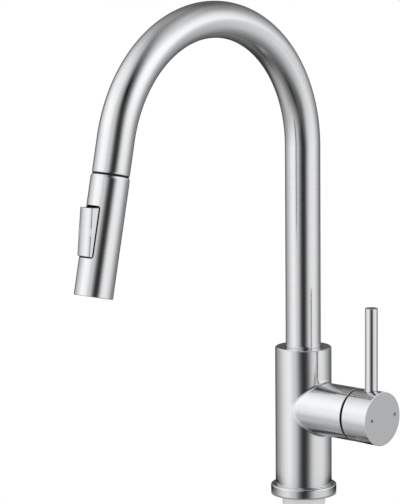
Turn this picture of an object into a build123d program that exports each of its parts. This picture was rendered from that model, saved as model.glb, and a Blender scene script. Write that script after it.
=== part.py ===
from build123d import *
from math import acos, asin, cos, degrees, hypot, radians, sin, sqrt
import os

# Pull-out kitchen faucet with a high arc spout and a side lever, in millimetres.
# The origin is the centre of the base on the deck, Z is up, the spout reaches
# towards -Y and the lever's axis runs along +X.

os.makedirs("parts", exist_ok=True)

# Fits
running_gap = 0.05  # radial play of a turning or sliding fit
seat_gap = 0.1  # play between pieces that are put together and stay put
shadow_gap = 0.5  # open ring round the spout's foot
body_gap = 0.3  # between lengths of hose on different bodies
pressed_gap = 0.02  # a pin pressed into its seat

# Base ring and body
ring_radius = 26.25
ring_height = 8.0
ring_floor = 3.0
ring_rounding = 1.2
ring_lip_chamfer = 0.5
ring_floor_bore = 17.4
gasket_inner = 21.0
gasket_width = 3.0
gasket_depth = 1.6
body_radius = 22.5
body_top = 119.5
body_wall = 2.5
body_top_wall = 3.1
body_edge = 0.8

# Valve housing on the side of the body
valve_height = 71.5
housing_radius = 21.0
housing_end = 56.0
housing_edge = 0.4
seam_fillet = 2.0
block_start = 1.0
seat_face = 14.0
chamber_radius = 17.6
lug_drop = 23.5
lug_half_width = 13.0
lug_end = 14.6
port_radius = 4.0
port_depth = 12.0
side_port = (5.6, 8.3)
mixed_port_x = 10.0
channel_radius = 2.6
side_channel_drop = 5.5
mixed_channel_rise = 7.0

# Mounting parts under the deck
shank_radius = 16.5
shank_bore = 14.2
shank_length = 62.0
shank_neck = 16.0
shank_flange_height = 8.0
thread_pitch = 2.0
thread_depth = 0.8
centring_radius = 17.3
centring_length = 8.0
deck_thickness = 25.0
washer_radius = 27.0
rubber_washer_height = 3.0
steel_washer_height = 1.5
nut_flange_radius = 26.0
nut_flange_height = 5.0
nut_body_radius = 19.6
nut_height = 13.0
nut_grips = 12
nut_grip_radius = 0.8
lock_screw_count = 3
lock_screw_radius = 1.75
lock_screw_circle = 23.3
lock_screw_head_radius = 2.7
lock_screw_head_height = 2.4
lock_screw_length = 7.4
lock_screw_socket = 3.0

# Spout
spout_radius = 14.0
spout_wall = 1.5
spout_foot = 100.0
leg_top = 280.0
arc_radius = 104.5
arc_sweep = 167.5
spout_tail = 26.35

# Swivel in the top of the body
sleeve_bottom = 102.0
sleeve_bore = 15.6
bush_height = 4.0
bush_spacing = 9.4
swivel_ring_radius = 0.72
swivel_ring_count = 2
clip_groove_depth = 0.6
clip_groove_rise = 0.8
clip_height = 0.9
clip_outer = 16.4
clip_opening = 6.0

# Pull-out hose
hose_radius = 6.5
hose_offset = 7.4
hose_bend = 45.0
hose_split = 118.0
hose_bottom = -76.0
reach_length = 24.0
end_ferrule_radius = 7.2
end_ferrule_length = 14.0
end_nut_across = 13.6
end_nut_length = 9.0

# Mixed water tube
outlet_tube_radius = 3.7
outlet_tube_wall = 0.9
outlet_tube_bottom = -84.0
nipple_radius = 5.0
nipple_length = 14.0

# Cartridge, all places measured along the lever's axis from the body's axis
pivot_x = 46.0
seal_section = 1.6
seal_inner = 2.9
base_thickness = 4.0
base_recess = 1.2
cartridge_radius = 17.4
fixed_disc_thickness = 3.6
fixed_disc_radius = 13.6
disc_port_radius = 2.6
moving_disc_thickness = 4.0
moving_disc_radius = 11.4
carrier_thickness = 5.0
disc_gap = 0.05
cartridge_cup_radius = 15.9
cartridge_shoulder = 38.0
cartridge_neck_radius = 14.0
cartridge_neck_end = 44.0
turret_radius = 12.4
turret_flange_radius = 15.2
turret_flange_start = 31.2
turret_flange_thickness = 3.6
turret_end = 51.0
turret_floor = 38.0
turret_slot_width = 7.6
turret_window_bottom = -3.4
turret_window_top = 10.6
pin_radius = 1.5
pin_set_in = 1.2
stem_width = 7.2
stem_radius = 4.5
stem_collar_radius = 5.4
stem_end = 79.0
stem_ball_radius = 2.6
stem_neck_radius = 2.2
ball_play = 0.4
nut_ring_start = 38.1
nut_ring_end = 46.0
nut_ring_notches = 6
nut_ring_notch_width = 4.0
nut_ring_notch_depth = 2.0
dome_radius = 19.7
dome_wall = 1.0
dome_skirt_radius = 17.3
dome_skirt_start = 46.1
dome_hole = 13.5

# Lever: hub and rod
hub_gap = 1.8
hub_radius = 21.0
hub_cap_radius = 21.3
hub_end = 81.7
hub_wall = 2.2
hub_edge = 0.7
hub_edge_length = 0.25
hub_floor = 67.6
relief_radius = 23.6
relief_flat_depth = 1.5
relief_flat_end = 71.8
scoop_radius = 6.0
scoop_drop = 24.0
rod_x = 70.5
rod_radius = 5.0
rod_top = 158.0
rod_edge = 0.4
rod_stud_radius = 3.0
rod_stud_length = 13.0
spot_radius = 5.7
spot_depth = 0.8
grub_x = 75.6
grub_radius = 2.5
grub_length = 9.0
grub_socket = 2.5
dot_radius = 1.3
dot_depth = 0.5
dot_places = [(-12.6, 0.4), (15.2, 1.6)]
lever_lift = 25.0

# Spray head, places measured along its axis from the joint with the spout
joint_gap = 1.5
head_radius = 14.5
head_length = 89.9
head_wall = 1.5
head_rim_radius = 13.9
head_rim_taper = 1.8
head_end_edge = 0.4
head_top_wall = 2.5
cutout_start = 23.8
cutout_below = 27.4
cutout_width = 14.0
cutout_corner = 2.0
core_start = 6.1
core_recess = 8.7
pocket_floor = 7.9
pocket_side_room = 0.25
pocket_end_room = 1.3
inlet_bore = 5.0
inlet_bore_end = 30.9
spool_bore = 3.2
spool_bore_reach = 12.25
bypass_radius = 2.8
bypass_cross_radius = 2.4
bypass_offset = 8.2
bypass_start = 20.9
lower_chamber_radius = 9.5
lower_chamber_depth = 15.0

# Rocker button and diverter
rocker_tilt = 6.5
rocker_pin_out = 9.5
rocker_rise = 0.2
rocker_end_room = 3.2
rocker_width = 12.9
rocker_front = 18.72
rocker_skirt = 10.8
rocker_wall = 1.2
rocker_crown = 0.93
rocker_corner = 0.6
rocker_room = 0.5
rocker_boss_radius = 2.6
rocker_pin_radius = 1.0
rocker_pin_length = 14.9
prong_reach = 8.0
prong_width = 2.4
prong_thickness = 2.0
spool_radius = 3.15
spool_groove_radius = 1.2
spool_groove_width = 2.6
spool_length = 17.0
spool_ring_radius = 0.5
spool_ring_inset = 2.0

# Head inlet, hose nut and dock collar
neck_radius = 8.0
neck_top = -11.0
neck_flange_radius = 11.8
neck_stub_end = 14.0
neck_bore = 5.5
neck_stub_bore = 3.6
valve_bore_end = 3.6
neck_washer_height = 1.6
hose_nut_radius = 10.4
hose_nut_end = 0.0
hose_nut_shoulder = -13.6
hose_nut_top = -23.5
hose_nut_tip_radius = 8.7
hose_nut_flutes = 10
hose_nut_flute_radius = 1.0
ferrule_radius = 7.6
ferrule_flange_radius = 7.9
ferrule_flange_height = 1.6
ferrule_bore = 4.0
collar_length = 22.0
collar_bore = 10.75
collar_face_gap = 0.15
collar_flange_radius = 13.5
collar_lead = 1.0

# Check valve
check_body_length = 12.0
check_seat_radius = 2.6
check_seat_depth = 4.0
check_seat_height = 1.0
check_poppet_radius = 3.2
check_poppet_room = 0.45
check_outlet_radius = 5.0
check_stem_radius = 0.9
check_stem_inset = 0.5
check_seat_rise = 0.4
check_rim_start = 1.2
check_rim_end = 2.4
check_tip_end = 4.0

# Spray face
face_recess = 1.2
face_thickness = 5.0
face_radius = 11.0
face_ring_outer = 12.9
face_ring_height = 6.6
mat_thickness = 1.5
nozzle_radius = 0.8
nozzle_bore = 0.4
nozzle_stand_out = 0.8
nozzle_circles = (9.0, 6.7)
nozzle_counts = (16, 10)
aerator_radius = 4.6
aerator_hole = 5.0
aerator_screen = 0.8
aerator_slots = 5
aerator_slot_width = 0.7
aerator_slot_pitch = 1.4

# Directions and places that follow from the sizes above
sweep_angle = radians(arc_sweep)
arc_end_y = -arc_radius * (1 - cos(sweep_angle))
arc_end_z = leg_top + arc_radius * sin(sweep_angle)
down = Vector(0, -sin(sweep_angle), cos(sweep_angle))
outward = Vector(0, cos(sweep_angle), sin(sweep_angle))
sideways = Vector(1, 0, 0)
arc_end = Vector(0, arc_end_y, arc_end_z)
joint_back = spout_tail + joint_gap / 2
joint = arc_end + down * joint_back
head_axis = Axis(joint, down)
head_section = Plane(origin=joint, x_dir=outward, z_dir=sideways)
lug_bottom = valve_height - lug_drop
lever_section = Plane(origin=(0, 0, valve_height), x_dir=(1, 0, 0), z_dir=(0, -1, 0))
lever_axis = Axis((0, 0, valve_height), (1, 0, 0))


def across_head(distance):
    """Plane square to the spray head's axis, facing its outlet."""
    return Plane(origin=joint + down * distance, x_dir=outward, z_dir=down)


def across_lever(distance):
    """Plane square to the lever's axis, facing away from the body."""
    return Plane(origin=(distance, 0, valve_height), x_dir=(0, 1, 0), z_dir=(1, 0, 0))


def sphere_x(sphere_radius, ring):
    """Distance along the lever's axis at which a sphere on the pivot has a ring radius."""
    return pivot_x + sqrt(sphere_radius**2 - ring**2)


def pivot_arc(sphere_radius, start_ring, end_ring):
    """Arc about the lever's pivot between two ring radii, in the lever's section."""
    start_angle = degrees(asin(start_ring / sphere_radius))
    end_angle = degrees(asin(end_ring / sphere_radius))
    return CenterArc((pivot_x, 0), sphere_radius, start_angle, end_angle - start_angle)


def from_body_axis(edge):
    """Distance of an edge's middle from the body's axis."""
    return hypot(edge.center().X, edge.center().Y)


def save(builder, label):
    """Labels a finished piece and writes its STEP file."""
    builder.part.label = label
    export_step(builder.part, f"parts/{label}.step")


# Body: a tube with the valve housing on its side, closed inside by the cartridge's seat block
cavity_radius = body_radius - body_wall
with BuildPart() as faucet_body:
    with BuildSketch(Plane.XY.offset(ring_floor)):
        Circle(body_radius)
    extrude(amount=body_top - ring_floor)
    chamfer(faucet_body.edges().group_by(Axis.Z)[-1], length=body_edge)
    with BuildSketch(Plane.XY.offset(ring_floor)):
        Circle(cavity_radius)
    extrude(amount=body_top - body_top_wall - ring_floor, mode=Mode.SUBTRACT)
    with BuildSketch(across_lever(block_start)):
        Circle(housing_radius)
    extrude(amount=housing_end - block_start)
    chamfer(faucet_body.edges().group_by(Axis.X)[-1], length=housing_edge)
    seam_edges = faucet_body.edges().filter_by(GeomType.BSPLINE)
    seam_edges = seam_edges.filter_by(lambda edge: from_body_axis(edge) > cavity_radius + seat_gap)
    fillet(seam_edges, radius=seam_fillet)
    with BuildSketch(Plane.XY.offset(lug_bottom)):
        with Locations(((block_start + lug_end) / 2, 0)):
            Rectangle(lug_end - block_start, 2 * lug_half_width)
    extrude(amount=valve_height - lug_bottom)
    with BuildSketch(across_lever(seat_face)):
        Circle(chamber_radius)
    extrude(amount=housing_end - seat_face, mode=Mode.SUBTRACT)
    with BuildSketch(Plane.XY.offset(body_top)):
        Circle(spout_radius + shadow_gap)
    extrude(amount=-body_top_wall, mode=Mode.SUBTRACT)
    for side in (-1, 1):
        with BuildSketch(Plane.XY.offset(lug_bottom)):
            with Locations((side_port[0], side * side_port[1])):
                Circle(port_radius)
        extrude(amount=port_depth, mode=Mode.SUBTRACT)
        with BuildSketch(Plane.XY.offset(lug_bottom)):
            with Locations((side_port[0], side * side_port[1])):
                Circle(channel_radius)
        extrude(amount=valve_height - side_channel_drop - lug_bottom, mode=Mode.SUBTRACT)
        with BuildSketch(across_lever(side_port[0])):
            with Locations((side * side_port[1], -side_channel_drop)):
                Circle(channel_radius)
        extrude(amount=seat_face - side_port[0], mode=Mode.SUBTRACT)
    with BuildSketch(Plane.XY.offset(lug_bottom)):
        with Locations((mixed_port_x, 0)):
            Circle(port_radius)
    extrude(amount=port_depth, mode=Mode.SUBTRACT)
    with BuildSketch(Plane.XY.offset(lug_bottom)):
        with Locations((mixed_port_x, 0)):
            Circle(channel_radius)
    extrude(amount=valve_height + mixed_channel_rise - lug_bottom, mode=Mode.SUBTRACT)
    with BuildSketch(across_lever(mixed_port_x)):
        with Locations((0, mixed_channel_rise)):
            Circle(channel_radius)
    extrude(amount=seat_face - mixed_port_x, mode=Mode.SUBTRACT)
save(faucet_body, "faucet_body")

# Base ring: the body and the shank's flange stand on its floor
gasket_outer = gasket_inner + gasket_width
with BuildPart() as base_ring:
    with BuildSketch(Plane.XZ):
        Polygon(
            (ring_floor_bore, 0),
            (gasket_inner - seat_gap, 0),
            (gasket_inner - seat_gap, gasket_depth),
            (gasket_outer + seat_gap, gasket_depth),
            (gasket_outer + seat_gap, 0),
            (ring_radius, 0),
            (ring_radius, ring_height),
            (body_radius + seat_gap, ring_height),
            (body_radius + seat_gap, ring_floor),
            (ring_floor_bore, ring_floor),
            align=None,
        )
    revolve(axis=Axis.Z)
    ring_top_edges = base_ring.edges().group_by(Axis.Z)[-1].sort_by(SortBy.RADIUS)
    fillet(ring_top_edges[-1], radius=ring_rounding)
    ring_top_edges = base_ring.edges().group_by(Axis.Z)[-1].sort_by(SortBy.RADIUS)
    chamfer(ring_top_edges[0], length=ring_lip_chamfer)
save(base_ring, "base_ring")

with BuildPart() as base_gasket:
    with BuildSketch(Plane.XY):
        Circle(gasket_outer)
        Circle(gasket_inner, mode=Mode.SUBTRACT)
    extrude(amount=gasket_depth)
save(base_gasket, "base_gasket")

# Threaded shank with a flange that is joined to the foot of the body
thread_count = int((shank_length - shank_neck) / thread_pitch)
with BuildPart() as mounting_shank:
    with BuildSketch(Plane.XY.offset(-shank_length)):
        Circle(shank_radius)
        Circle(shank_bore, mode=Mode.SUBTRACT)
    extrude(amount=shank_length + ring_floor + shank_flange_height)
    with BuildSketch(Plane.XY.offset(ring_floor)):
        Circle(cavity_radius - seat_gap)
        Circle(shank_bore, mode=Mode.SUBTRACT)
    extrude(amount=shank_flange_height)
    with BuildSketch(Plane.XZ):
        for turn in range(thread_count):
            groove_z = -shank_neck - (turn + 0.5) * thread_pitch
            Polygon(
                (shank_radius + thread_depth, groove_z - thread_depth),
                (shank_radius + thread_depth, groove_z + thread_depth),
                (shank_radius - thread_depth, groove_z),
                align=None,
            )
    revolve(axis=Axis.Z, mode=Mode.SUBTRACT)
save(mounting_shank, "mounting_shank")

with BuildPart() as centring_ring:
    with BuildSketch(Plane.XY.offset(-centring_length)):
        Circle(centring_radius)
        Circle(shank_radius + seat_gap, mode=Mode.SUBTRACT)
    extrude(amount=centring_length)
save(centring_ring, "centring_ring")

# Washers and nut that clamp the deck from below
rubber_washer_z = -deck_thickness - rubber_washer_height
steel_washer_z = rubber_washer_z - steel_washer_height
for washer_z, washer_height, washer_name in (
    (rubber_washer_z, rubber_washer_height, "deck_rubber_washer"),
    (steel_washer_z, steel_washer_height, "deck_steel_washer"),
):
    with BuildPart() as deck_washer:
        with BuildSketch(Plane.XY.offset(washer_z)):
            Circle(washer_radius)
            Circle(shank_radius + 2 * seat_gap, mode=Mode.SUBTRACT)
        extrude(amount=washer_height)
    save(deck_washer, washer_name)

nut_top = steel_washer_z
with BuildPart() as mounting_nut:
    with BuildSketch(Plane.XY.offset(nut_top)):
        Circle(nut_flange_radius)
    extrude(amount=-nut_flange_height)
    with BuildSketch(Plane.XY.offset(nut_top)):
        Circle(nut_body_radius)
        with PolarLocations(nut_body_radius, nut_grips):
            Circle(nut_grip_radius)
    extrude(amount=-nut_height)
    with BuildSketch(Plane.XY.offset(nut_top)):
        Circle(shank_radius + seat_gap)
        with PolarLocations(lock_screw_circle, lock_screw_count, start_angle=90):
            Circle(lock_screw_radius + seat_gap)
    extrude(amount=-nut_height, mode=Mode.SUBTRACT)
save(mounting_nut, "mounting_nut")

with BuildPart() as nut_lock_screws:
    with BuildSketch(Plane.XY.offset(nut_top)):
        with PolarLocations(lock_screw_circle, lock_screw_count, start_angle=90):
            Circle(lock_screw_radius)
    extrude(amount=-lock_screw_length)
    with BuildSketch(Plane.XY.offset(nut_top - lock_screw_length)):
        with PolarLocations(lock_screw_circle, lock_screw_count, start_angle=90):
            Circle(lock_screw_head_radius)
    extrude(amount=lock_screw_head_height)
    with BuildSketch(Plane.XY.offset(nut_top - lock_screw_length)):
        with PolarLocations(lock_screw_circle, lock_screw_count, start_angle=90):
            RegularPolygon(lock_screw_socket / 2, 6)
    extrude(amount=lock_screw_head_height / 2, mode=Mode.SUBTRACT)
save(nut_lock_screws, "nut_lock_screws")

# Spout: one bent tube from its foot inside the body to the docking end
tail_end = arc_end + down * spout_tail
with BuildPart() as spout_tube:
    with BuildLine(Plane.YZ):
        Line((0, spout_foot), (0, leg_top))
        JernArc(start=(0, leg_top), tangent=(0, 1), radius=arc_radius, arc_size=arc_sweep)
        Line((arc_end.Y, arc_end.Z), (tail_end.Y, tail_end.Z))
    with BuildSketch(Plane.XY.offset(spout_foot)):
        Circle(spout_radius)
        Circle(spout_radius - spout_wall, mode=Mode.SUBTRACT)
    sweep()
    with BuildSketch(Plane.XY.offset(spout_foot + clip_groove_rise)):
        Circle(spout_radius + shadow_gap)
        Circle(spout_radius - clip_groove_depth, mode=Mode.SUBTRACT)
    extrude(amount=clip_height + seat_gap, mode=Mode.SUBTRACT)
save(spout_tube, "spout_tube")

# Swivel: sleeve and bushes in the body, with a spring clip on the spout under them
sleeve_top = body_top - body_top_wall
with BuildPart() as swivel_sleeve:
    with BuildSketch(Plane.XY.offset(sleeve_bottom)):
        Circle(cavity_radius - seat_gap)
        Circle(sleeve_bore, mode=Mode.SUBTRACT)
    extrude(amount=sleeve_top - sleeve_bottom)
save(swivel_sleeve, "swivel_sleeve")

lower_bush_z = sleeve_bottom + seat_gap
for bush_z, bush_name in (
    (lower_bush_z, "lower_swivel_bush"),
    (lower_bush_z + bush_spacing, "upper_swivel_bush"),
):
    with BuildPart() as swivel_bush:
        with BuildSketch(Plane.XY.offset(bush_z)):
            Circle(sleeve_bore - running_gap)
            Circle(spout_radius + running_gap, mode=Mode.SUBTRACT)
        extrude(amount=bush_height)
    save(swivel_bush, bush_name)

ring_room = bush_spacing - bush_height
with BuildPart() as swivel_o_rings:
    for ring_index in range(swivel_ring_count):
        ring_share = (ring_index + 0.5) / swivel_ring_count
        swivel_ring_z = lower_bush_z + bush_height + ring_room * ring_share
        with BuildSketch(Plane.XZ):
            with Locations((spout_radius + running_gap + swivel_ring_radius, swivel_ring_z)):
                Circle(swivel_ring_radius)
        revolve(axis=Axis.Z)
save(swivel_o_rings, "swivel_o_rings")

clip_z = spout_foot + clip_groove_rise + seat_gap / 2
with BuildPart() as retaining_clip:
    with BuildSketch(Plane.XY.offset(clip_z)):
        Circle(clip_outer)
        Circle(spout_radius - clip_groove_depth + running_gap, mode=Mode.SUBTRACT)
        with Locations((0, clip_outer)):
            Rectangle(clip_opening, clip_outer, mode=Mode.SUBTRACT)
    extrude(amount=clip_height)
save(retaining_clip, "retaining_clip")

# Pull-out hose: it stands beside the valve block in the body and runs up the spout's centre
shift_angle = degrees(acos(1 - hose_offset / (2 * hose_bend)))
shift_height = 2 * hose_bend * sin(radians(shift_angle))
shift_start = hose_split - body_gap - shift_height
with BuildPart() as hose_lower:
    with BuildLine(Plane.XZ):
        Line((-hose_offset, hose_bottom), (-hose_offset, shift_start))
        JernArc(
            start=(-hose_offset, shift_start),
            tangent=(0, 1),
            radius=hose_bend,
            arc_size=-shift_angle,
        )
        JernArc(
            start=(-hose_offset / 2, shift_start + shift_height / 2),
            tangent=(sin(radians(shift_angle)), cos(radians(shift_angle))),
            radius=hose_bend,
            arc_size=shift_angle,
        )
    with BuildSketch(Plane.XY.offset(hose_bottom)):
        with Locations((-hose_offset, 0)):
            Circle(hose_radius)
    sweep()
save(hose_lower, "hose_lower")

reach_start = arc_sweep - degrees(reach_length / arc_radius)
reach_end = arc_sweep - degrees(body_gap / arc_radius)
with BuildPart() as hose_upper:
    with BuildLine(Plane.YZ):
        Line((0, hose_split), (0, leg_top))
        JernArc(start=(0, leg_top), tangent=(0, 1), radius=arc_radius, arc_size=reach_start)
    with BuildSketch(Plane.XY.offset(hose_split)):
        Circle(hose_radius)
    sweep()
save(hose_upper, "hose_upper")

reach_angle = radians(reach_start)
reach_y = -arc_radius * (1 - cos(reach_angle))
reach_z = leg_top + arc_radius * sin(reach_angle)
reach_point = Vector(0, reach_y, reach_z)
reach_direction = Vector(0, -sin(reach_angle), cos(reach_angle))
with BuildPart() as hose_reach:
    with BuildLine(Plane.YZ):
        JernArc(
            start=(reach_y, reach_z),
            tangent=(reach_direction.Y, reach_direction.Z),
            radius=arc_radius,
            arc_size=reach_end - reach_start,
        )
    with BuildSketch(Plane(origin=reach_point, x_dir=sideways, z_dir=reach_direction)):
        Circle(hose_radius)
    sweep()
save(hose_reach, "hose_reach")

# Fitting on the hose's lower end: crimped ferrule and a six-sided coupling nut
with BuildPart() as hose_end_fitting:
    with BuildSketch(Plane.XY.offset(hose_bottom)):
        with Locations((-hose_offset, 0)):
            Circle(end_ferrule_radius)
    extrude(amount=-end_ferrule_length)
    with BuildSketch(Plane.XY.offset(hose_bottom - end_ferrule_length)):
        with Locations((-hose_offset, 0)):
            RegularPolygon(end_nut_across / 2, 6, major_radius=False)
    extrude(amount=-end_nut_length)
    with BuildSketch(Plane.XY.offset(hose_bottom - end_ferrule_length - end_nut_length)):
        with Locations((-hose_offset, 0)):
            Circle(ferrule_bore)
    extrude(amount=end_nut_length, mode=Mode.SUBTRACT)
save(hose_end_fitting, "hose_end_fitting")

# Mixed water tube from the valve block down through the shank, with a threaded nipple
with BuildPart() as outlet_tube:
    with BuildSketch(Plane.XY.offset(outlet_tube_bottom)):
        with Locations((mixed_port_x, 0)):
            Circle(outlet_tube_radius)
    extrude(amount=lug_bottom + port_depth - seat_gap - outlet_tube_bottom)
    with BuildSketch(Plane.XY.offset(outlet_tube_bottom)):
        with Locations((mixed_port_x, 0)):
            Circle(nipple_radius)
    extrude(amount=-nipple_length)
    with BuildSketch(Plane.XY.offset(outlet_tube_bottom - nipple_length)):
        with Locations((mixed_port_x, 0)):
            Circle(outlet_tube_radius - outlet_tube_wall)
    extrude(amount=lug_bottom + port_depth - outlet_tube_bottom + nipple_length, mode=Mode.SUBTRACT)
save(outlet_tube, "outlet_tube")

# Cartridge, from the seat outwards
port_places = [
    (-side_port[1], -side_channel_drop),
    (side_port[1], -side_channel_drop),
    (0, mixed_channel_rise),
]
base_front = seat_face + seat_gap
with BuildPart() as port_seals:
    with BuildSketch(across_lever(base_front)):
        with Locations(*port_places):
            Circle(seal_inner + seal_section)
            Circle(seal_inner, mode=Mode.SUBTRACT)
    extrude(amount=base_recess - seat_gap)
save(port_seals, "port_seals")

with BuildPart() as cartridge_base:
    with BuildSketch(across_lever(base_front)):
        Circle(cartridge_radius)
    extrude(amount=base_thickness)
    with BuildSketch(across_lever(base_front)):
        with Locations(*port_places):
            Circle(seal_inner + seal_section + seat_gap)
    extrude(amount=base_recess, mode=Mode.SUBTRACT)
    with BuildSketch(across_lever(base_front)):
        with Locations(*port_places):
            Circle(disc_port_radius)
    extrude(amount=base_thickness, mode=Mode.SUBTRACT)
save(cartridge_base, "cartridge_base")

fixed_disc_x = base_front + base_thickness
with BuildPart() as fixed_disc:
    with BuildSketch(across_lever(fixed_disc_x)):
        Circle(fixed_disc_radius)
        with Locations(*port_places):
            Circle(disc_port_radius, mode=Mode.SUBTRACT)
    extrude(amount=fixed_disc_thickness)
save(fixed_disc, "fixed_disc")

# The moving disc and its carrier sit low when the valve is closed, by half of what the
# stem's ball lifts them
moving_disc_x = fixed_disc_x + fixed_disc_thickness + disc_gap
carrier_x = moving_disc_x + moving_disc_thickness
ball_x = carrier_x + stem_ball_radius + ball_play / 2
disc_rest = -(pivot_x - ball_x) * sin(radians(lever_lift)) / 2
with BuildPart() as moving_disc:
    with BuildSketch(across_lever(moving_disc_x)):
        with Locations((0, disc_rest)):
            Circle(moving_disc_radius)
    extrude(amount=moving_disc_thickness)
    with BuildSketch(across_lever(moving_disc_x)):
        with Locations((0, disc_rest - disc_port_radius)):
            SlotOverall(4 * disc_port_radius, 2 * disc_port_radius)
    extrude(amount=moving_disc_thickness / 2, mode=Mode.SUBTRACT)
save(moving_disc, "moving_disc")

with BuildPart() as disc_carrier:
    with BuildSketch(across_lever(carrier_x)):
        with Locations((0, disc_rest)):
            Circle(moving_disc_radius)
    extrude(amount=carrier_thickness)
    with BuildSketch(across_lever(carrier_x + carrier_thickness)):
        Rectangle(2 * stem_ball_radius + ball_play, 2 * (stem_ball_radius + ball_play))
    extrude(amount=-carrier_thickness, mode=Mode.SUBTRACT)
save(disc_carrier, "disc_carrier")

cup_start = fixed_disc_x
with BuildPart() as cartridge_housing:
    with BuildSketch(lever_section):
        Polygon(
            (cup_start, cartridge_cup_radius),
            (cup_start, cartridge_radius),
            (cartridge_shoulder, cartridge_radius),
            (cartridge_shoulder, cartridge_neck_radius),
            (cartridge_neck_end, cartridge_neck_radius),
            (cartridge_neck_end, turret_radius + running_gap),
            (turret_flange_start + turret_flange_thickness + seat_gap, turret_radius + running_gap),
            (turret_flange_start + turret_flange_thickness + seat_gap, cartridge_cup_radius),
            align=None,
        )
    revolve(axis=lever_axis)
save(cartridge_housing, "cartridge_housing")

# Turret: turns with the lever about the lever's axis and carries the tilting pin
with BuildPart() as turret:
    with BuildSketch(across_lever(turret_flange_start)):
        Circle(turret_flange_radius)
    extrude(amount=turret_flange_thickness)
    with BuildSketch(across_lever(turret_flange_start)):
        Circle(turret_radius)
    extrude(amount=turret_end - turret_flange_start)
    with BuildSketch(across_lever(turret_flange_start)):
        with Locations((0, (turret_window_top + turret_window_bottom) / 2)):
            Rectangle(turret_slot_width, turret_window_top - turret_window_bottom)
    extrude(amount=turret_floor - turret_flange_start, mode=Mode.SUBTRACT)
    with BuildSketch(across_lever(turret_floor)):
        Rectangle(turret_slot_width, 2 * turret_flange_radius)
    extrude(amount=turret_end - turret_floor, mode=Mode.SUBTRACT)
    with BuildSketch(Plane.XZ.offset(-turret_flange_radius)):
        with Locations((pivot_x, valve_height)):
            Circle(pin_radius + running_gap)
    extrude(amount=2 * turret_flange_radius, mode=Mode.SUBTRACT)
save(turret, "turret")

with BuildPart() as stem_pin:
    with BuildSketch(Plane.XZ):
        with Locations((pivot_x, valve_height)):
            Circle(pin_radius)
    extrude(amount=turret_radius - pin_set_in, both=True)
save(stem_pin, "stem_pin")

# Lever stem: ball in the disc carrier, flat eye on the pin, round shaft in the hub
with BuildPart() as lever_stem:
    with BuildSketch(across_lever(pivot_x)):
        Circle(stem_radius)
    extrude(amount=stem_end - pivot_x)
    with BuildSketch(across_lever(ball_x)):
        Circle(stem_neck_radius)
    extrude(amount=pivot_x - ball_x)
    with Locations((ball_x, 0, valve_height)):
        Sphere(stem_ball_radius)
    with BuildSketch(Plane.XZ):
        with Locations((pivot_x, valve_height)):
            Circle(stem_collar_radius)
    extrude(amount=stem_width / 2, both=True)
    with BuildSketch(Plane.XZ):
        with Locations((pivot_x, valve_height)):
            Circle(pin_radius + running_gap)
    extrude(amount=stem_width, both=True, mode=Mode.SUBTRACT)
    with BuildSketch(across_lever(pivot_x - stem_collar_radius)):
        Rectangle(4 * stem_radius, 4 * stem_radius)
        Rectangle(stem_width, 4 * stem_radius, mode=Mode.SUBTRACT)
    extrude(amount=turret_end + stem_radius - pivot_x + stem_collar_radius, mode=Mode.SUBTRACT)
save(lever_stem, "lever_stem")

with BuildPart() as cartridge_nut:
    with BuildSketch(across_lever(nut_ring_start)):
        Circle(chamber_radius - seat_gap)
        Circle(cartridge_neck_radius + 2 * seat_gap, mode=Mode.SUBTRACT)
    extrude(amount=nut_ring_end - nut_ring_start)
    with BuildSketch(across_lever(nut_ring_end)):
        with PolarLocations(chamber_radius, nut_ring_notches):
            Rectangle(nut_ring_notch_width, nut_ring_notch_width)
    extrude(amount=-nut_ring_notch_depth, mode=Mode.SUBTRACT)
save(cartridge_nut, "cartridge_nut")

# Trim dome: skirt in the housing's mouth and a spherical ring about the lever's pivot
dome_inner = dome_radius - dome_wall
skirt_inner = dome_skirt_radius - dome_wall
with BuildPart() as trim_dome:
    with BuildSketch(lever_section):
        with BuildLine():
            Polyline(
                (sphere_x(dome_inner, skirt_inner), skirt_inner),
                (dome_skirt_start, skirt_inner),
                (dome_skirt_start, dome_skirt_radius),
                (sphere_x(dome_radius, dome_skirt_radius), dome_skirt_radius),
            )
            pivot_arc(dome_radius, dome_skirt_radius, dome_hole)
            Line(
                (sphere_x(dome_radius, dome_hole), dome_hole),
                (sphere_x(dome_inner, dome_hole), dome_hole),
            )
            pivot_arc(dome_inner, dome_hole, skirt_inner)
        make_face()
    revolve(axis=lever_axis)
save(trim_dome, "trim_dome")

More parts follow.
